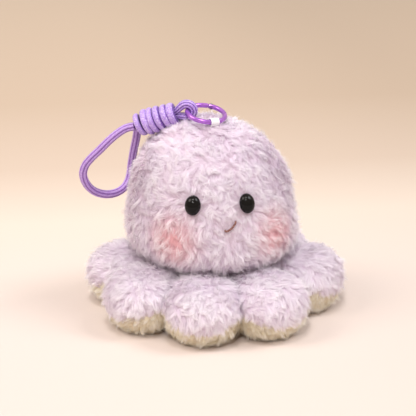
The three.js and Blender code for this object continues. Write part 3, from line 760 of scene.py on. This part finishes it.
def lobe_surface(number):
    """The surface of one tentacle, squashed against its neighbours, hub, head and floor."""
    angle = TENTACLES[number]
    ahead = math.radians((TENTACLES[(number + 1) % len(TENTACLES)] - angle) % 360)
    behind = math.radians((angle - TENTACLES[number - 1]) % 360)
    facing = math.radians(angle - 90)
    cos_f, sin_f = math.cos(facing), math.sin(facing)

    def surface(down, around, pushed=False):
        """Points, and where asked for how far each was pushed and its height over the seam."""
        tilt = np.pi / 2 - down * np.pi
        cos, sin = np.maximum(np.cos(tilt), 0), np.sin(tilt)
        turn = 2 * np.pi * around
        spread = cos ** np.where(sin < 0, 0.7, 0.9)
        x, y = spread * np.cos(turn), spread * np.sin(turn)
        taper = 1 + 0.06 * cos * np.cos(turn)
        out = TENTACLE_CENTRE + x * np.where(x < 0, TENTACLE_ROOT, TENTACLE_LENGTH)
        across = y * TENTACLE_WIDTH * taper
        height = TENTACLE_MIDDLE + sin * np.where(sin < 0, TENTACLE_DROP, TENTACLE_RISE)
        moved = np.zeros(np.broadcast(out, across).shape)
        for edge, sign in ((ahead / 2, 1), (-behind / 2, -1)):
            normal = np.array([-math.sin(edge), math.cos(edge)]) * sign
            beyond = np.maximum(out * normal[0] + across * normal[1] + GAP / 2, 0)
            out, across = out - beyond * normal[0], across - beyond * normal[1]
            moved = np.maximum(moved, beyond)
        radius = np.hypot(out, across)
        hub = np.interp(height, [0, 2.7, 7.5, 15], [35.3, 35.3, 36.3, 38.3])
        short = np.maximum(hub - radius, 0)
        scale = 1 + short / np.maximum(radius, 1)
        out, across = out * scale, across * scale
        world_x = out * cos_f - across * sin_f
        world_y = out * sin_f + across * cos_f
        ceiling = under_head(np.hypot(world_x - lean_x(height), world_y)) - GAP
        lowered = np.maximum(height - ceiling, 0)
        height = height - lowered
        points = np.stack([world_x, world_y, np.maximum(height, 0)], -1)
        if not pushed:
            return points
        flank = np.clip(np.abs(across) / TENTACLE_WIDTH, 0, 1.2)
        above = height - (SEAM + SEAM_FLANK * flank**2)
        return points, np.maximum.reduce([moved, short, lowered, -height]), above

    return surface


def scatter(surface, spacing, seed, top):
    """Places spread evenly over a surface, one to each patch, as (down, around) pairs."""
    chance = np.random.default_rng(seed)
    down, around = np.linspace(top, 0.985, 161), np.linspace(0, 1, 181)
    points = surface(down[:, None], around[None, :])
    rows = np.linalg.norm(np.diff(points, axis=0), axis=-1).max(1)
    run = np.concatenate([[0], np.cumsum(rows)])
    count = max(int(run[-1] / spacing), 1)
    places = []
    for i in range(count):
        mark = (i + 0.5) / count * run[-1]
        row = surface(np.full(len(around), np.interp(mark, run, down)), around)
        length = travelled(row)
        many = max(int(round(length[-1] / spacing)), 1)
        marks = (np.arange(many) + chance.uniform(-0.42, 0.42, many) + chance.uniform()) % many
        shifts = np.clip(mark + chance.uniform(-0.45, 0.45, many) * spacing, 0, run[-1])
        places.append(np.stack([
            np.interp(shifts, run, down),
            np.interp(marks / many * length[-1], length, around),
        ], 1))
    return np.vstack(places)


def outward_at(surface, places, inside):
    """Outward normals of a surface at (down, around) places."""
    step = 1e-3
    down, around = np.clip(places[:, 0], 2 * step, 1 - 2 * step), places[:, 1]
    point = surface(down, around)
    over, across = surface(down + step, around) - point, surface(down, around + step) - point
    normal = unit(np.cross(over, across))
    normal[np.sum(normal * (point - inside), 1) < 0] *= -1
    return normal


def noise(points, cell, seed):
    """Smooth random values from -1 to 1 over space."""
    base = np.floor(points / cell).astype(np.int64)
    part = points / cell - base
    part = part * part * (3 - 2 * part)
    total = np.zeros(len(points))
    for corner in np.ndindex(2, 2, 2):
        x, y, z = (base + np.array(corner)).T
        key = x * 73856093 ^ y * 19349663 ^ z * 83492791 ^ (seed * 2654435761)
        key = (key ^ (key >> 13)) * 1274126177 & 0x7FFFFFFF
        value = (key ^ (key >> 15)) % 65536 / 32768.0 - 1
        total += value * np.prod(np.where(np.array(corner) == 1, part, 1 - part), axis=1)
    return total


def clearance(points, line):
    """Distance from each point to the nearest point of a line of points."""
    return np.min(np.linalg.norm(points[:, None] - np.asarray(line, float)[None], axis=2), axis=1)


def swirled(normals, flow, angle):
    """Directions on a surface, each turned about its normal."""
    return flow * np.cos(angle)[:, None] + np.cross(normals, flow) * np.sin(angle)[:, None]


def bulged(points, normals, bulges):
    """Points of a cover, pushed out where the stuffing fills it more."""
    for centre, reach, more in bulges:
        near = 1 - eased(clearance(points, [centre]), 0.3 * reach, reach)
        points = points + normals * (more * near)[:, None]
    return points


# Fur

SEGMENTS = 3
HAIR_POINTS = 2 * SEGMENTS + 1
HAIR_WIDTH = 0.3
ROOT_DEPTH = 0.35
COVER_CURVE = 75.0
FLOOR_CLEARANCE = 0.15
HEM = 2.4
# The cloth under the hairs is stored as if it were near their roots, so it takes the roots' painted
# shade.
CLOTH = {"tip": 0.1, "lock": 0.5, "hair": 0.5, "guard": 0.0}


def paired(left, right, middle):
    """Values down both edges of each hair, ending in one at its tip."""
    made = np.empty((len(left), HAIR_POINTS, 3))
    made[:, 0:-1:2], made[:, 1:-1:2], made[:, -1] = left[:, :-1], right[:, :-1], middle[:, -1]
    return made.reshape(-1, 3)


def grown(roots, normals, flow, rise, run, seed, hairs, spread, matted):
    """Points, normals, stored values and number of hairs in locks of fur.

    A lock's fine tapering hairs draw together at their tips, and its few guard hairs stand taller.
    """
    chance = np.random.default_rng(seed)
    locks = len(roots)
    whose = np.repeat(np.arange(locks), hairs)
    count = len(whose)
    t = np.linspace(0, 1, SEGMENTS + 1)
    side = unit(np.cross(normals, flow))

    def varied(low, high, wild):
        """A value of each lock's own, with a little of each hair's own on top."""
        own = chance.uniform(low, high, (locks, 1))[whose]
        return own * chance.uniform(1 - wild, 1 + wild, (count, 1))

    guard_share = np.where(chance.random((locks, 1)) < 0.4, 0.42, 0.05)[whose]
    guard = chance.random((count, 1)) < guard_share
    high = rise[whose, None] * varied(0.75, 1.2, 0.22) * np.where(guard, 1.9, 1)
    long = run[whose, None] * varied(0.75, 1.2, 0.25) * np.where(guard, 1.1, 1)
    fall = varied(0.0, 0.5, 0.2)
    bend = chance.normal(0, 0.3, (locks, 1))[whose] + chance.normal(0, 0.16, (count, 1))
    draw = varied(matted - 0.25, matted + 0.15, 0.1) * np.where(guard, 0.8, 1)
    angle = chance.uniform(0, 2 * np.pi, (count, 1))
    off = np.sqrt(chance.random((count, 1))) * spread
    keep = 1 - draw * t**0.9
    up = high * t * (1 - fall * t**2)
    along = off * np.cos(angle) * keep + long * t
    across = off * np.sin(angle) * keep + long * bend * t**2
    sag = (along**2 + across**2) / (2 * COVER_CURVE)
    root, n, f, s = (values[whose, None] for values in (roots, normals, flow, side))
    lines = root + n * (up - ROOT_DEPTH - sag)[..., None]
    lines = lines + f * along[..., None] + s * across[..., None]
    lines[..., 2] = np.maximum(lines[..., 2], FLOOR_CLEARANCE)
    ahead = unit(np.gradient(lines, axis=1))
    flat = unit(np.cross(ahead, np.broadcast_to(n, ahead.shape)))
    roll = chance.normal(0, 0.22, (count, 1, 1))
    flat = unit(flat * np.cos(roll) + np.cross(ahead, flat) * np.sin(roll))
    half = HAIR_WIDTH / 2 * varied(0.75, 1.25, 0.2) * np.where(guard, 1.1, 1) * (1 - 0.8 * t**1.5)
    edge = flat * half[..., None]
    lift = s * (0.25 * np.sin(angle) * off / spread)[..., None]
    facing = unit(squared(n, ahead) + n * 0.05 + lift)
    values = {
        "tip": np.tile(np.repeat(t, 2)[:-1], (count, 1)),
        "lock": chance.random((locks, 1))[whose],
        "hair": chance.random((count, 1)),
        "guard": guard,
    }
    shape = (count, HAIR_POINTS)
    values = {key: np.broadcast_to(value, shape).ravel() for key, value in values.items()}
    return paired(lines - edge, lines + edge, lines), paired(facing, facing, facing), values, count


def fur_mesh(field, kept, seed, hairs, spread, matted, skin=None):
    """One mesh of the hairs of the kept locks, and of the cloth under them, if it is given.

    The field is all the locks' roots, normals, flow, rise and run.
    """
    grow = [values[kept] for values in field]
    points, facing, values, count = grown(*grow, seed, hairs, spread, matted)
    pattern = [2 * k + corner for k in range(SEGMENTS - 1) for corner in (0, 1, 3, 2)]
    pattern += range(HAIR_POINTS - 3, HAIR_POINTS)
    corners = (np.arange(count)[:, None] * HAIR_POINTS + np.array(pattern)).ravel()
    sizes = np.tile([4] * (SEGMENTS - 1) + [3], count)
    cells = math.ceil(math.sqrt(count))
    row, column = np.divmod(np.arange(count), cells)
    low = 0.16 if skin else 0.0
    level = np.append(np.repeat(np.linspace(0.08, 0.92, SEGMENTS + 1)[:-1], 2), 0.92)
    sideways = np.array([0.1, 0.9] * SEGMENTS + [0.5])
    u = (column[:, None] + sideways) / cells
    v = low + (1 - low) * (row[:, None] + level) / cells
    places = np.stack([u, v], -1).reshape(-1, 2)[corners]
    if skin:
        skin_points, skin_facing, quads, skin_places = skin
        corners = np.concatenate([corners, quads.ravel() + len(points)])
        points, facing = np.vstack([points, skin_points]), np.vstack([facing, skin_facing])
        sizes = np.concatenate([sizes, [4] * len(quads)])
        places = np.vstack([places, (skin_places * [1, 0.15])[quads.ravel()]])
        for key, plain in CLOTH.items():
            values[key] = np.concatenate([values[key], np.full(len(skin_points), plain)])
    mesh = bpy.data.meshes.new("fur")
    mesh.vertices.add(len(points))
    mesh.vertices.foreach_set("co", (points * MM).ravel())
    mesh.loops.add(len(corners))
    mesh.loops.foreach_set("vertex_index", corners.astype(np.int32))
    mesh.polygons.add(len(sizes))
    starts = np.concatenate([[0], np.cumsum(sizes)[:-1]])
    mesh.polygons.foreach_set("loop_start", starts.astype(np.int32))
    mesh.polygons.foreach_set("use_smooth", np.ones(len(sizes), bool))
    mesh.update(calc_edges=True)
    layer = mesh.uv_layers.new(name="OFBake")
    layer.data.foreach_set("uv", places.astype(np.float32).ravel())
    for key, stored in values.items():
        store(mesh, key, stored)
    normals = mesh.attributes.new("custom_normal", "FLOAT_VECTOR", "POINT")
    normals.data.foreach_set("vector", facing.astype(np.float32).ravel())
    return mesh


BLUSH = [((-0.0322, -0.0445, 0.0576), 0.0122), ((0.0325, -0.0428, 0.0588), 0.0125)]


def plush_paint(name, root, tip, shade, through, blush=False):
    """Fur: deeper at the roots as painted shade among the hairs, pale at the tips, painted lighter
    near the crown as light from above, with longer white hairs that catch the light.
    """
    paint = Paint(name, roughness=0.38, specular_ior_level=0.8, sheen_weight=0.5,
                  sheen_roughness=0.5)
    # Painted shade: the hairs are darker toward their roots, where the locks shade one another.
    colour = paint.blend(paint.between(paint.stored("tip"), 0.0, 0.9), root, tip)
    mottle = paint.between(paint.noise(75, 3, 0.6), 0.42, 0.68)
    colour = paint.blend(mottle * 0.45, colour, shade)
    if blush:
        left, right = (paint.near(centre, radius, 0.0115) for centre, radius in BLUSH)
        streak = paint.noise(140, 3) * 0.25 + 0.7
        colour = paint.blend((left + right) * streak, colour, (255, 187, 188))
    # Painted light: the fur is made lighter toward the crown, as if lit more from above.
    high = paint.between(paint.along("Z"), 0.08, 0.115)
    light = paint.stored("lock") * 0.06 + paint.stored("hair") * 0.08 + high * 0.08 + 0.9
    colour = paint.shaded(colour, light)
    white = paint.stored("guard") * paint.between(paint.stored("tip"), 0.1, 0.7) * 0.95
    paint.feed("Base Color", paint.blend(white, colour, (255, 253, 255)))
    paint.let_through(0.5, through)
    return paint


head_paint = plush_paint("head_fur", (240, 221, 236), (248, 241, 251), (245, 230, 243),
                         (255, 250, 255), blush=True)
lilac_paint = plush_paint("tentacle_fur", (255, 241, 254), (255, 252, 255), (251, 236, 253),
                          (255, 249, 255))
cream_paint = plush_paint("underside_fur", (255, 241, 216), (255, 251, 240), (255, 249, 234),
                          (255, 252, 236))

# Where the head's fur parts round the face, and where the stuffing fills the covers more, as a
# centre, a reach and a height
EYES = [(-19.2, -45.6, 80.2), (11.8, -46.6, 80.2)]
SMILE = [(-1.3, -52.5, 65.4), (-0.3, -52.5, 65.3), (1.0, -52.3, 65.9), (2.6, -52.0, 67.0),
         (4.0, -51.5, 68.6), (4.9, -51.1, 70.2)]
SHOULDERS = [((-40, 2, 101), 26, 2.0), ((40, -2, 97), 26, 2.2), ((51, -6, 66), 20, -1.2),
             ((-3.2, -17.5, 118.5), 8, 2.4), ((-25, -7, 117.5), 12, 2.8)]
FULL_TENTACLES = [((68, -10, 33), 23, 2.6), ((-72, 10, 30), 18, 1.3)]
KNOT_LINE = placed(STRAP, [(x, 0, -3) for x in np.linspace(0, 36, 10)])
RING_LINE = placed(RING, on_ring(np.linspace(0, 360, 37)))


def stuffed_head(places):
    """Points and outward normals of the head's cover."""
    points = head_surface(*places.T)
    inside = np.clip(points[:, 2:], 45, 75) * UP
    normals = outward_at(head_surface, places, inside)
    return bulged(points, normals, SHOULDERS), normals


def make_head():
    """Long fur combed down low on the head, swirling above, and thin round the face."""
    places = scatter(head_surface, spacing=2.5, seed=11, top=0.01)
    roots, normals = stuffed_head(places)
    chance = np.random.default_rng(12)
    flow = squared(-UP, normals)
    wild = 0.5 + 0.5 * eased(roots[:, 2], 42, 58)
    wander = noise(roots, 15, 1) * 2.6 + noise(roots, 7, 2) * 1.2
    flow = swirled(normals, flow, (wander + chance.normal(0, 0.7, len(roots))) * wild)
    rise, run = np.full(len(roots), 2.5), np.full(len(roots), 6.0)
    bare = np.zeros(len(roots), bool)
    for eye in EYES:
        away = roots - np.array(eye)
        apart = np.linalg.norm(away * [1, 1, 0.85], axis=1)
        pull = 1 - eased(apart, 5.5, 12.0)[:, None]
        flow = squared(flow * (1 - pull) + unit(away) * pull * 1.2, normals)
        rise *= 0.5 + 0.5 * eased(apart, 5.0, 12.0)
        run *= 0.55 + 0.45 * eased(apart, 5.0, 11.0)
        bare |= apart < 4.6
    smile = clearance(roots, smooth_path(SMILE, 4))
    rise *= 0.25 + 0.75 * eased(smile, 3, 10)
    run *= 0.5 + 0.5 * eased(smile, 3, 8)
    hardware = np.minimum(clearance(roots, RING_LINE) - 1.5, clearance(roots, KNOT_LINE) - 8)
    rise *= 0.75 + 0.25 * eased(hardware, 1, 5)
    third = np.floor((places[:, 1] + 1 / 6) % 1 * 3).astype(int)
    for seed, name, part in ((20, "front", 0), (21, "left", 2), (22, "right", 1)):
        kept = (third == part) & ~bare
        field = (roots, normals, flow, rise, run)
        mesh = fur_mesh(field, kept, seed, hairs=24, spread=2.2, matted=0.62)
        piece = new_piece(f"head_fur_{name}", mesh, head_paint, "head", "lilac_fur")
        if name == "front":
            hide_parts("head_filling")
    places, quads = net(70, 121)
    cloth = new_mesh(stuffed_head(places)[0], quads)
    # The head's cloth, like the tentacles', takes the roots' painted shade.
    for key, plain in {**CLOTH, "tip": 0.12}.items():
        store(cloth, key, [plain] * len(cloth.vertices))
    piece = new_piece("head_cloth", cloth, head_paint, "head", "lilac_fur", "head_cover")


def lobe_skin(surface, middle, below):
    """The cloth of a tentacle above its seam, or of its underside below it."""
    places, quads = net(49, 73, 0.002)
    points, _, above = surface(*places.T, pushed=True)
    facing = outward_at(surface, places, middle)
    kept = (above < HEM if below else above >= HEM / 2)[quads].any(axis=1)
    used, inverse = np.unique(quads[kept], return_inverse=True)
    points = bulged(points, facing, FULL_TENTACLES)
    return points[used], facing[used], inverse.reshape(-1, 4), places[used][:, ::-1]


def make_tentacles():
    """Each tentacle's lilac fur, and below its seam the shorter cream fur of its underside."""
    for number, facing in enumerate(TENTACLES):
        surface = lobe_surface(number)
        angle = math.radians(facing - 90)
        outward = np.array([math.cos(angle), math.sin(angle), 0])
        middle = outward * TENTACLE_CENTRE + UP * TENTACLE_MIDDLE
        places = scatter(surface, spacing=2.4, seed=40 + number, top=0.005)
        roots, moved, above = surface(*places.T, pushed=True)
        normals = outward_at(surface, places, middle)
        roots = bulged(roots, normals, FULL_TENTACLES)
        free = (moved < 1.6) & (roots[:, 2] > 1.2)
        chance = np.random.default_rng(60 + number)
        flow = squared(unit(roots - middle) * 0.6 + outward * 0.5 - UP * 0.9, normals)
        wander = noise(roots, 14, 3) * 1.6 + noise(roots, 6, 4) * 0.7
        flow = swirled(normals, flow, wander + chance.normal(0, 0.4, len(roots)))
        reach = 0.4 + 0.6 * eased(np.abs(above - HEM), 0, 7)
        upper = ("tentacle", above >= HEM, lilac_paint, "lilac_fur", 2.3, 5.8, 24)
        lower = ("sole", above < HEM, cream_paint, "cream_fur", 2.0, 4.2, 22)
        for below, (kind, half, paint, slot, rise, run, hairs) in enumerate((upper, lower)):
            field = (roots, normals, flow, np.full(len(roots), rise), run * reach)
            mesh = fur_mesh(field, free & half, 80 + 2 * number + below, hairs, spread=2.1,
                            matted=0.6, skin=lobe_skin(surface, middle, below))
            piece = new_piece(f"{kind}_plush_{number + 1}", mesh, paint, "head", slot,
                              f"{kind}_{number + 1}")


make_head()
make_tentacles()


# Hub and base


def turned_cloth(name, node, slot, sides, profile, first, second):
    """A turned piece in short plush cloth: fine nap and a soft mottle."""
    paint = mottled(name, first, second, 260, 4, 0.7, roughness=0.9, sheen_weight=0.3,
                    sheen_roughness=0.5)
    paint.bump(paint.noise(1100, 4, 0.7), 0.0006, 0.8)
    return new_piece(name, new_mesh(*lathe(profile, sides)), paint, "head", slot, node)


hub = turned_cloth(
    "hub_cloth", "skirt_body", "lilac_fur", 72,
    [(0, 2.9), (34.6, 2.9), (36, 7.6), (37.4, 11), (37.9, 15), (37.9, 27), (36.5, 30.6), (0, 30.9)],
    (176, 150, 172), (214, 192, 212),
)
turned_cloth(
    "base_cloth", "base_panel", "cream_fur", 96,
    [(0, 0.25), (20, 0.15), (31, 0.02), (33.6, 0.02), (34.6, 0.5), (34.9, 1.3), (34.6, 2.1),
     (33.6, 2.4), (0, 2.4)],
    (222, 212, 186), (242, 236, 216),
)


# Face

EYE_RIM = 1.1
EYE_DOME = 5.2
EYE_SHAPE = [4.75, 5.95, 1]
EYE_OFFSET = [0.2, -0.95, 0]
SHANK_DEPTH = 7.5
SHANK_RIB = 1.5
THREAD_TWIST = 2.4
THREAD_RADIUS = 0.35


def on_head(angle, height):
    """A point of the head above its widest height, and its outward normal."""
    sin = (height - HEAD_WIDEST) / HEAD_RISE
    radius = HEAD_RADIUS * math.sqrt(1 - sin * sin)
    x, y = radius * math.sin(angle), -radius * math.cos(angle)
    normal = np.array([x / HEAD_RADIUS**2, y / HEAD_RADIUS**2, sin / HEAD_RISE])
    normal[2] -= HEAD_LEAN * normal[0]
    return np.array([x + lean_x(height), y, height]), unit(normal)


def make_eyes():
    """Two oval domed buttons, each on a ribbed shank, and the washers that hold them inside."""
    polished = mottled("eye_plastic", (4, 4, 5), (10, 10, 12), 500, specular_ior_level=0.2)
    polished.feed("Roughness", polished.noise(900) * 0.03 + 0.02)
    moulded = mottled("washer_plastic", (222, 222, 216), (240, 240, 236), 300, roughness=0.45)
    moulded.bump(moulded.noise(1500), 0.00003, 0.5)
    level = HEAD_RADIUS * math.sqrt(1 - ((EYE_LEVEL - HEAD_WIDEST) / HEAD_RISE) ** 2)
    half_angle = math.asin(EYE_SPACING / 2 / level)
    dome = [(0, 0.3), (0.86, 0.3), (0.95, 0.42), (0.995, 0.75)]
    dome += [(math.cos(a), EYE_RIM + (EYE_DOME - EYE_RIM) * math.sin(a))
             for a in np.radians(np.linspace(0, 90, 15)[:-1])]
    points, faces = lathe([*dome, (0, EYE_DOME)], 64)
    points = points * EYE_SHAPE + EYE_OFFSET
    shank = [(0, -SHANK_DEPTH)]
    for low in -SHANK_DEPTH + SHANK_RIB * np.arange(4):
        shank += [(1.9, low), (2.3, low + SHANK_RIB / 2)]
    shank += [(1.9, -1.5), (1.9, 0.5), (0, 0.5)]
    stem, stem_faces = lathe(shank, 24)
    faces = faces + [[i + len(points) for i in f] for f in stem_faces]
    points = np.vstack([points, stem])
    for side, sign in (("left", -1), ("right", 1)):
        point, normal = on_head(sign * half_angle + math.radians(EYE_TURN), EYE_LEVEL)
        across = unit(np.cross(UP, normal))
        place = basis(across, np.cross(normal, across), normal, point)
        mesh = new_mesh(placed(place, points), faces)
        new_piece(f"eye_button_{side}", mesh, polished, "head", "eye_plastic", f"eye_{side}")
        repaint(f"eye_washer_{side}", moulded)


def make_smile():
    """Three twisted plies of thread laid along the smile and drawn into the cloth at its ends."""
    paint = Paint("smile_thread", roughness=0.55, sheen_weight=0.3)
    paint.feed("Base Color", paint.blend(paint.stored("strand"), (96, 54, 50), (156, 108, 98)))
    ends = [np.array(SMILE[0]) + [0.1, 2.6, 0.1], *SMILE, np.array(SMILE[-1]) + [0.1, 2.8, 0.5]]
    path, marks = resampled(smooth_path(ends, 12), 0.12)
    side, upward = frames_along(path, UP)
    points, faces, shade = [], [], []
    for ply in range(3):
        phase = marks / THREAD_TWIST * 2 * np.pi + ply * 2 * np.pi / 3
        centre = path + 0.3 * (side * np.cos(phase)[:, None] + upward * np.sin(phase)[:, None])
        made, quads = tube(centre, side, upward, np.full((len(path), 10), THREAD_RADIUS))
        faces += [[i + ply * len(made) for i in f] for f in quads]
        points.append(made)
        shade += [0.25 + 0.3 * ply] * len(made)
    mesh = new_mesh(np.vstack(points), faces)
    store(mesh, "strand", shade)
    new_piece("smile_thread", mesh, paint, "head", "brown_thread", "mouth_stitch")


make_eyes()
make_smile()


# Floor, backdrop and light

FLOOR_HALF = 6000.0
BACKDROP = (236, 216, 197)
LAMPS = [
    ("front", (-0.2, -0.66, 0.7), 0.98, 5, (1.0, 0.99, 0.985)),
    ("top", (-0.1, -0.3, 0.95), 1.08, 12, (1.0, 0.99, 0.985)),
    ("left", (-0.66, -0.06, 0.74), 1.1, 26, (1.0, 0.95, 0.88)),
    ("right", (0.6, -0.14, 0.78), 1.33, 26, (0.94, 0.975, 1.0)),
]


def make_stage():
    """A plain pale floor that darkens to beige far behind the toy, with painted shade that darkens
    it a little to its right.
    """
    corners = [(-1, -1, 0), (1, -1, 0), (1, 1, 0), (-1, 1, 0)]
    mesh = new_mesh(np.array(corners) * FLOOR_HALF, [range(4)], smooth=False)
    paint = Paint("floor_card", roughness=0.95, specular_ior_level=0.1)
    tone = paint.node("ValToRGB", {0: (paint.along("Y") - 0.02) * 0.625}, stops=[
        (0.0, linear(219, 204, 196)), (0.1, linear(220, 204, 191)), (0.2, linear(203, 183, 167)),
        (0.38, linear(191, 170, 151)), (1.0, linear(182, 163, 145)),
    ])
    grain = paint.noise(900) * 0.03 + 0.985
    # Painted shade: the floor is darkened a little toward its right side.
    right_shade = 1 - paint.between(paint.along("X"), -0.05, 0.4) * 0.14
    paint.feed("Base Color", paint.shaded(tone, grain * right_shade))
    mesh.materials.append(paint.material)
    added("floor", mesh)


def make_light():
    """Small lamps high in front and overhead, and a softer one on each side."""
    for name, towards, strength, spread, colour in LAMPS:
        data = bpy.data.lights.new(name, "SUN")
        data.energy, data.angle, data.color = strength, math.radians(spread), colour
        added(name, data).rotation_euler = Vector(towards).to_track_quat("Z", "Y").to_euler()


def make_world():
    """A sky brightest overhead, which the camera and gloss see as one pale backdrop."""
    world = bpy.data.worlds.new("studio")
    bpy.context.scene.world = world
    world.use_nodes = True
    sky = Wiring(world.node_tree)
    place = sky.node("TexCoord", {}, "Generated")
    height = sky.node("SeparateXYZ", {0: place}, "Z")
    glow = sky.node("ValToRGB", {0: height}, stops=[
        (0.0, (0.34, 0.29, 0.245, 1)), (1.0, (0.5, 0.47, 0.44, 1)),
    ])
    seen = sky.node("LightPath", {}, "Is Camera Ray")
    mirrored = sky.node("LightPath", {}, "Is Glossy Ray")
    shown = sky.blend(seen.reckon("MAXIMUM", seen, mirrored), glow, BACKDROP)
    sky.join(shown, world.node_tree.nodes["Background"].inputs["Color"])


make_stage()
make_light()
make_world()
bpy.context.scene.view_settings.view_transform = "Standard"
